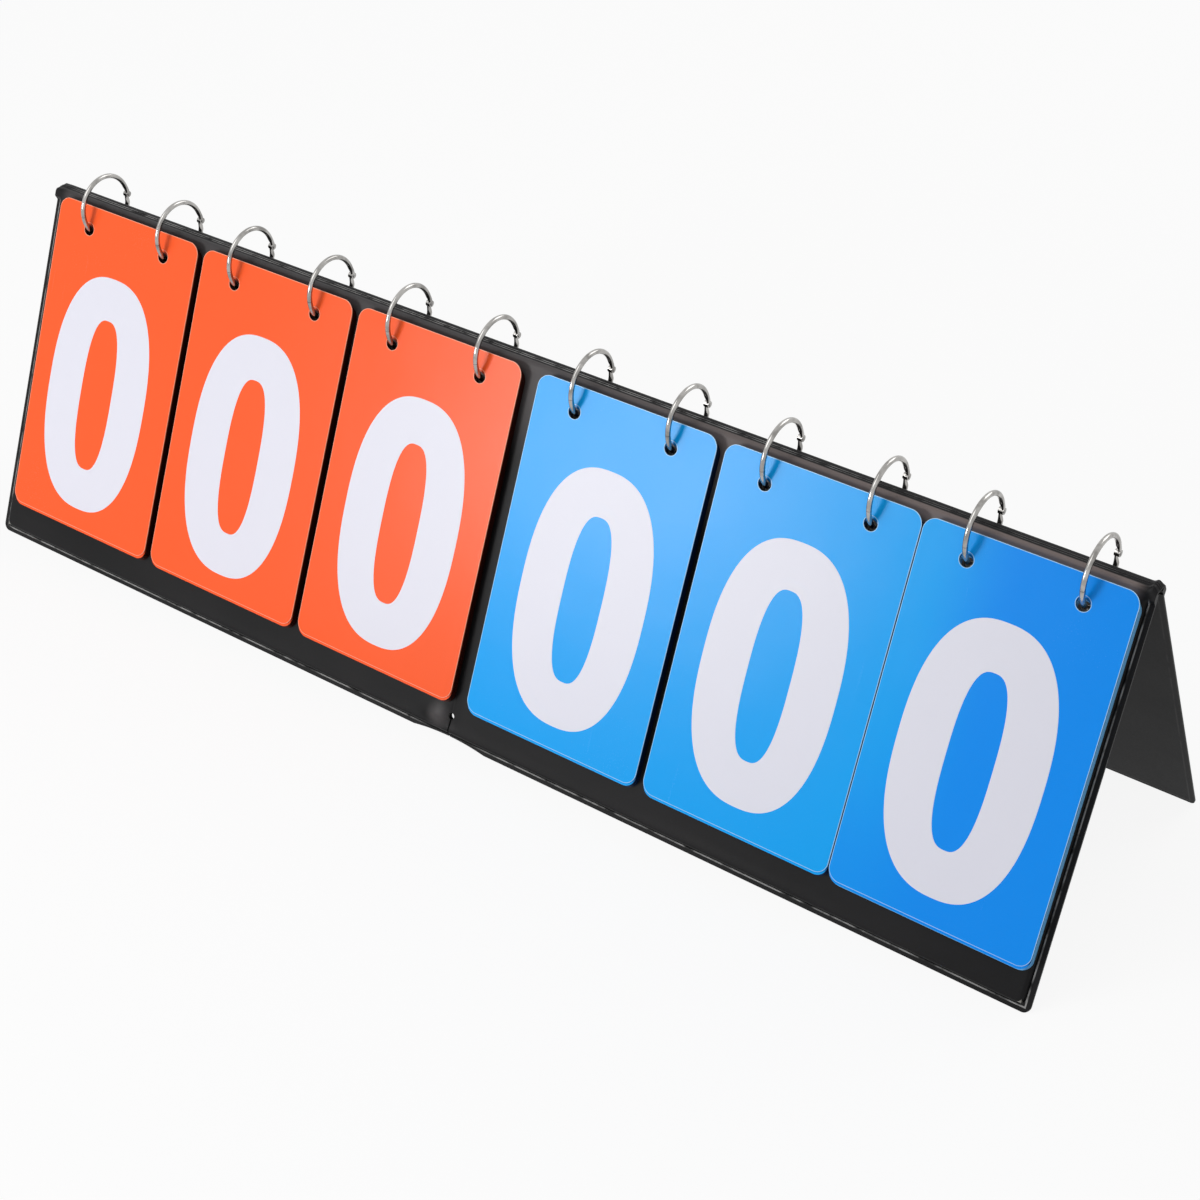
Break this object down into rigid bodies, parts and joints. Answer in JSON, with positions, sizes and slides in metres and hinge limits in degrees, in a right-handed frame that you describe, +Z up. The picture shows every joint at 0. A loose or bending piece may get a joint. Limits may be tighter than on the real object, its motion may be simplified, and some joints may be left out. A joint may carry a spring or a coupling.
{
  "type": "tabletop flip scoreboard",
  "caption": "Folding tent of two vinyl-covered boards with stacks of number cards that turn over the top on book rings.",
  "frame": {"origin": "on the table, under the middle of the spine", "axes": "+X along the stand from the orange cards to the blue ones, +Z up, the cards with the score face -Y"},
  "size_m": [0.507, 0.1308, 0.1514],
  "materials": {
    "cover_vinyl": "satin",
    "lining_vinyl": "matte",
    "core_board": "matte",
    "orange_card": "satin",
    "blue_card": "satin",
    "ring_wire": "polished",
    "ring_rivet": "satin"
  },
  "bodies": {
    "front_panel": {"front_cover_sheet": "cover_vinyl", "front_lining_sheet": "lining_vinyl", "front_board_left": "core_board", "front_board_right": "core_board", "orange_hundreds_card_deck": "orange_card", "orange_tens_card_deck": "orange_card", "orange_units_card_deck": "orange_card", "blue_hundreds_card_deck": "blue_card", "blue_tens_card_deck": "blue_card", "blue_units_card_deck": "blue_card"},
    "spine": {"spine_cover_strip": "cover_vinyl", "spine_lining_strip": "lining_vinyl"},
    "rear_panel": {"rear_cover_sheet": "cover_vinyl", "rear_lining_sheet": "lining_vinyl", "rear_board_left": "core_board", "rear_board_right": "core_board"},
    "orange_hundreds_rings": {"orange_hundreds_ring_hoops": "ring_wire", "orange_hundreds_ring_rivets": "ring_rivet"},
    "orange_hundreds_card": {"orange_hundreds_top_card": "orange_card"},
    "orange_hundreds_gate_left": {"orange_hundreds_ring_gate_left": "ring_wire"},
    "orange_hundreds_gate_right": {"orange_hundreds_ring_gate_right": "ring_wire"},
    "orange_tens_rings": {"orange_tens_ring_hoops": "ring_wire", "orange_tens_ring_rivets": "ring_rivet"},
    "orange_tens_card": {"orange_tens_top_card": "orange_card"},
    "orange_tens_gate_left": {"orange_tens_ring_gate_left": "ring_wire"},
    "orange_tens_gate_right": {"orange_tens_ring_gate_right": "ring_wire"},
    "orange_units_rings": {"orange_units_ring_hoops": "ring_wire", "orange_units_ring_rivets": "ring_rivet"},
    "orange_units_card": {"orange_units_top_card": "orange_card"},
    "orange_units_gate_left": {"orange_units_ring_gate_left": "ring_wire"},
    "orange_units_gate_right": {"orange_units_ring_gate_right": "ring_wire"},
    "blue_hundreds_rings": {"blue_hundreds_ring_hoops": "ring_wire", "blue_hundreds_ring_rivets": "ring_rivet"},
    "blue_hundreds_card": {"blue_hundreds_top_card": "blue_card"},
    "blue_hundreds_gate_left": {"blue_hundreds_ring_gate_left": "ring_wire"},
    "blue_hundreds_gate_right": {"blue_hundreds_ring_gate_right": "ring_wire"},
    "blue_tens_rings": {"blue_tens_ring_hoops": "ring_wire", "blue_tens_ring_rivets": "ring_rivet"},
    "blue_tens_card": {"blue_tens_top_card": "blue_card"},
    "blue_tens_gate_left": {"blue_tens_ring_gate_left": "ring_wire"},
    "blue_tens_gate_right": {"blue_tens_ring_gate_right": "ring_wire"},
    "blue_units_rings": {"blue_units_ring_hoops": "ring_wire", "blue_units_ring_rivets": "ring_rivet"},
    "blue_units_card": {"blue_units_top_card": "blue_card"},
    "blue_units_gate_left": {"blue_units_ring_gate_left": "ring_wire"},
    "blue_units_gate_right": {"blue_units_ring_gate_right": "ring_wire"}
  },
  "joints": [
    {"name": "spine_fold", "type": "hinge", "parent": "front_panel", "child": "spine", "pos_m": [0, -0.003, 0.13986], "axis": [-1, 0, 0], "range_deg": [-15, 24.6]},
    {"name": "rear_panel_fold", "type": "hinge", "parent": "spine", "child": "rear_panel", "pos_m": [0, 0.003, 0.13986], "axis": [-1, 0, 0], "range_deg": [-15, 24.6]},
    {"name": "orange_hundreds_flip", "type": "hinge", "parent": "front_panel", "child": "orange_hundreds_rings", "pos_m": [-0.20575, 0, 0.13793], "axis": [-1, 0, 0], "range_deg": [0, 247.5]},
    {"name": "orange_hundreds_card_swing", "type": "hinge", "parent": "orange_hundreds_rings", "child": "orange_hundreds_card", "pos_m": [-0.20575, -0.01069, 0.13145], "axis": [-1, 0, 0], "range_deg": [0, 64]},
    {"name": "orange_hundreds_gate_left_open", "type": "hinge", "parent": "orange_hundreds_rings", "child": "orange_hundreds_gate_left", "pos_m": [-0.22725, 0.0125, 0.13793], "axis": [1, 0, 0], "range_deg": [-50, 0]},
    {"name": "orange_hundreds_gate_right_open", "type": "hinge", "parent": "orange_hundreds_rings", "child": "orange_hundreds_gate_right", "pos_m": [-0.18425, 0.0125, 0.13793], "axis": [1, 0, 0], "range_deg": [-50, 0]},
    {"name": "orange_tens_flip", "type": "hinge", "parent": "front_panel", "child": "orange_tens_rings", "pos_m": [-0.12275, 0, 0.13793], "axis": [-1, 0, 0], "range_deg": [0, 247.5]},
    {"name": "orange_tens_card_swing", "type": "hinge", "parent": "orange_tens_rings", "child": "orange_tens_card", "pos_m": [-0.12275, -0.01069, 0.13145], "axis": [-1, 0, 0], "range_deg": [0, 64]},
    {"name": "orange_tens_gate_left_open", "type": "hinge", "parent": "orange_tens_rings", "child": "orange_tens_gate_left", "pos_m": [-0.14425, 0.0125, 0.13793], "axis": [1, 0, 0], "range_deg": [-50, 0]},
    {"name": "orange_tens_gate_right_open", "type": "hinge", "parent": "orange_tens_rings", "child": "orange_tens_gate_right", "pos_m": [-0.10125, 0.0125, 0.13793], "axis": [1, 0, 0], "range_deg": [-50, 0]},
    {"name": "orange_units_flip", "type": "hinge", "parent": "front_panel", "child": "orange_units_rings", "pos_m": [-0.03975, 0, 0.13793], "axis": [-1, 0, 0], "range_deg": [0, 247.5]},
    {"name": "orange_units_card_swing", "type": "hinge", "parent": "orange_units_rings", "child": "orange_units_card", "pos_m": [-0.03975, -0.01069, 0.13145], "axis": [-1, 0, 0], "range_deg": [0, 64]},
    {"name": "orange_units_gate_left_open", "type": "hinge", "parent": "orange_units_rings", "child": "orange_units_gate_left", "pos_m": [-0.06125, 0.0125, 0.13793], "axis": [1, 0, 0], "range_deg": [-50, 0]},
    {"name": "orange_units_gate_right_open", "type": "hinge", "parent": "orange_units_rings", "child": "orange_units_gate_right", "pos_m": [-0.01825, 0.0125, 0.13793], "axis": [1, 0, 0], "range_deg": [-50, 0]},
    {"name": "blue_hundreds_flip", "type": "hinge", "parent": "front_panel", "child": "blue_hundreds_rings", "pos_m": [0.04775, 0, 0.13793], "axis": [-1, 0, 0], "range_deg": [0, 247.5]},
    {"name": "blue_hundreds_card_swing", "type": "hinge", "parent": "blue_hundreds_rings", "child": "blue_hundreds_card", "pos_m": [0.04775, -0.01069, 0.13145], "axis": [-1, 0, 0], "range_deg": [0, 64]},
    {"name": "blue_hundreds_gate_left_open", "type": "hinge", "parent": "blue_hundreds_rings", "child": "blue_hundreds_gate_left", "pos_m": [0.02625, 0.0125, 0.13793], "axis": [1, 0, 0], "range_deg": [-50, 0]},
    {"name": "blue_hundreds_gate_right_open", "type": "hinge", "parent": "blue_hundreds_rings", "child": "blue_hundreds_gate_right", "pos_m": [0.06925, 0.0125, 0.13793], "axis": [1, 0, 0], "range_deg": [-50, 0]},
    {"name": "blue_tens_flip", "type": "hinge", "parent": "front_panel", "child": "blue_tens_rings", "pos_m": [0.13075, 0, 0.13793], "axis": [-1, 0, 0], "range_deg": [0, 247.5]},
    {"name": "blue_tens_card_swing", "type": "hinge", "parent": "blue_tens_rings", "child": "blue_tens_card", "pos_m": [0.13075, -0.01069, 0.13145], "axis": [-1, 0, 0], "range_deg": [0, 64]},
    {"name": "blue_tens_gate_left_open", "type": "hinge", "parent": "blue_tens_rings", "child": "blue_tens_gate_left", "pos_m": [0.10925, 0.0125, 0.13793], "axis": [1, 0, 0], "range_deg": [-50, 0]},
    {"name": "blue_tens_gate_right_open", "type": "hinge", "parent": "blue_tens_rings", "child": "blue_tens_gate_right", "pos_m": [0.15225, 0.0125, 0.13793], "axis": [1, 0, 0], "range_deg": [-50, 0]},
    {"name": "blue_units_flip", "type": "hinge", "parent": "front_panel", "child": "blue_units_rings", "pos_m": [0.21075, 0, 0.13793], "axis": [-1, 0, 0], "range_deg": [0, 247.5]},
    {"name": "blue_units_card_swing", "type": "hinge", "parent": "blue_units_rings", "child": "blue_units_card", "pos_m": [0.21075, -0.01069, 0.13145], "axis": [-1, 0, 0], "range_deg": [0, 64]},
    {"name": "blue_units_gate_left_open", "type": "hinge", "parent": "blue_units_rings", "child": "blue_units_gate_left", "pos_m": [0.18925, 0.0125, 0.13793], "axis": [1, 0, 0], "range_deg": [-50, 0]},
    {"name": "blue_units_gate_right_open", "type": "hinge", "parent": "blue_units_rings", "child": "blue_units_gate_right", "pos_m": [0.23225, 0.0125, 0.13793], "axis": [1, 0, 0], "range_deg": [-50, 0]}
  ],
  "couplings": [
    {"joint": "spine_fold", "follows": "rear_panel_fold", "ratio": 1},
    {"joint": "orange_hundreds_card_swing", "follows": "orange_hundreds_flip", "ratio": 0.2582},
    {"joint": "orange_tens_card_swing", "follows": "orange_tens_flip", "ratio": 0.2582},
    {"joint": "orange_units_card_swing", "follows": "orange_units_flip", "ratio": 0.2582},
    {"joint": "blue_hundreds_card_swing", "follows": "blue_hundreds_flip", "ratio": 0.2582},
    {"joint": "blue_tens_card_swing", "follows": "blue_tens_flip", "ratio": 0.2582},
    {"joint": "blue_units_card_swing", "follows": "blue_units_flip", "ratio": 0.2582}
  ]
}
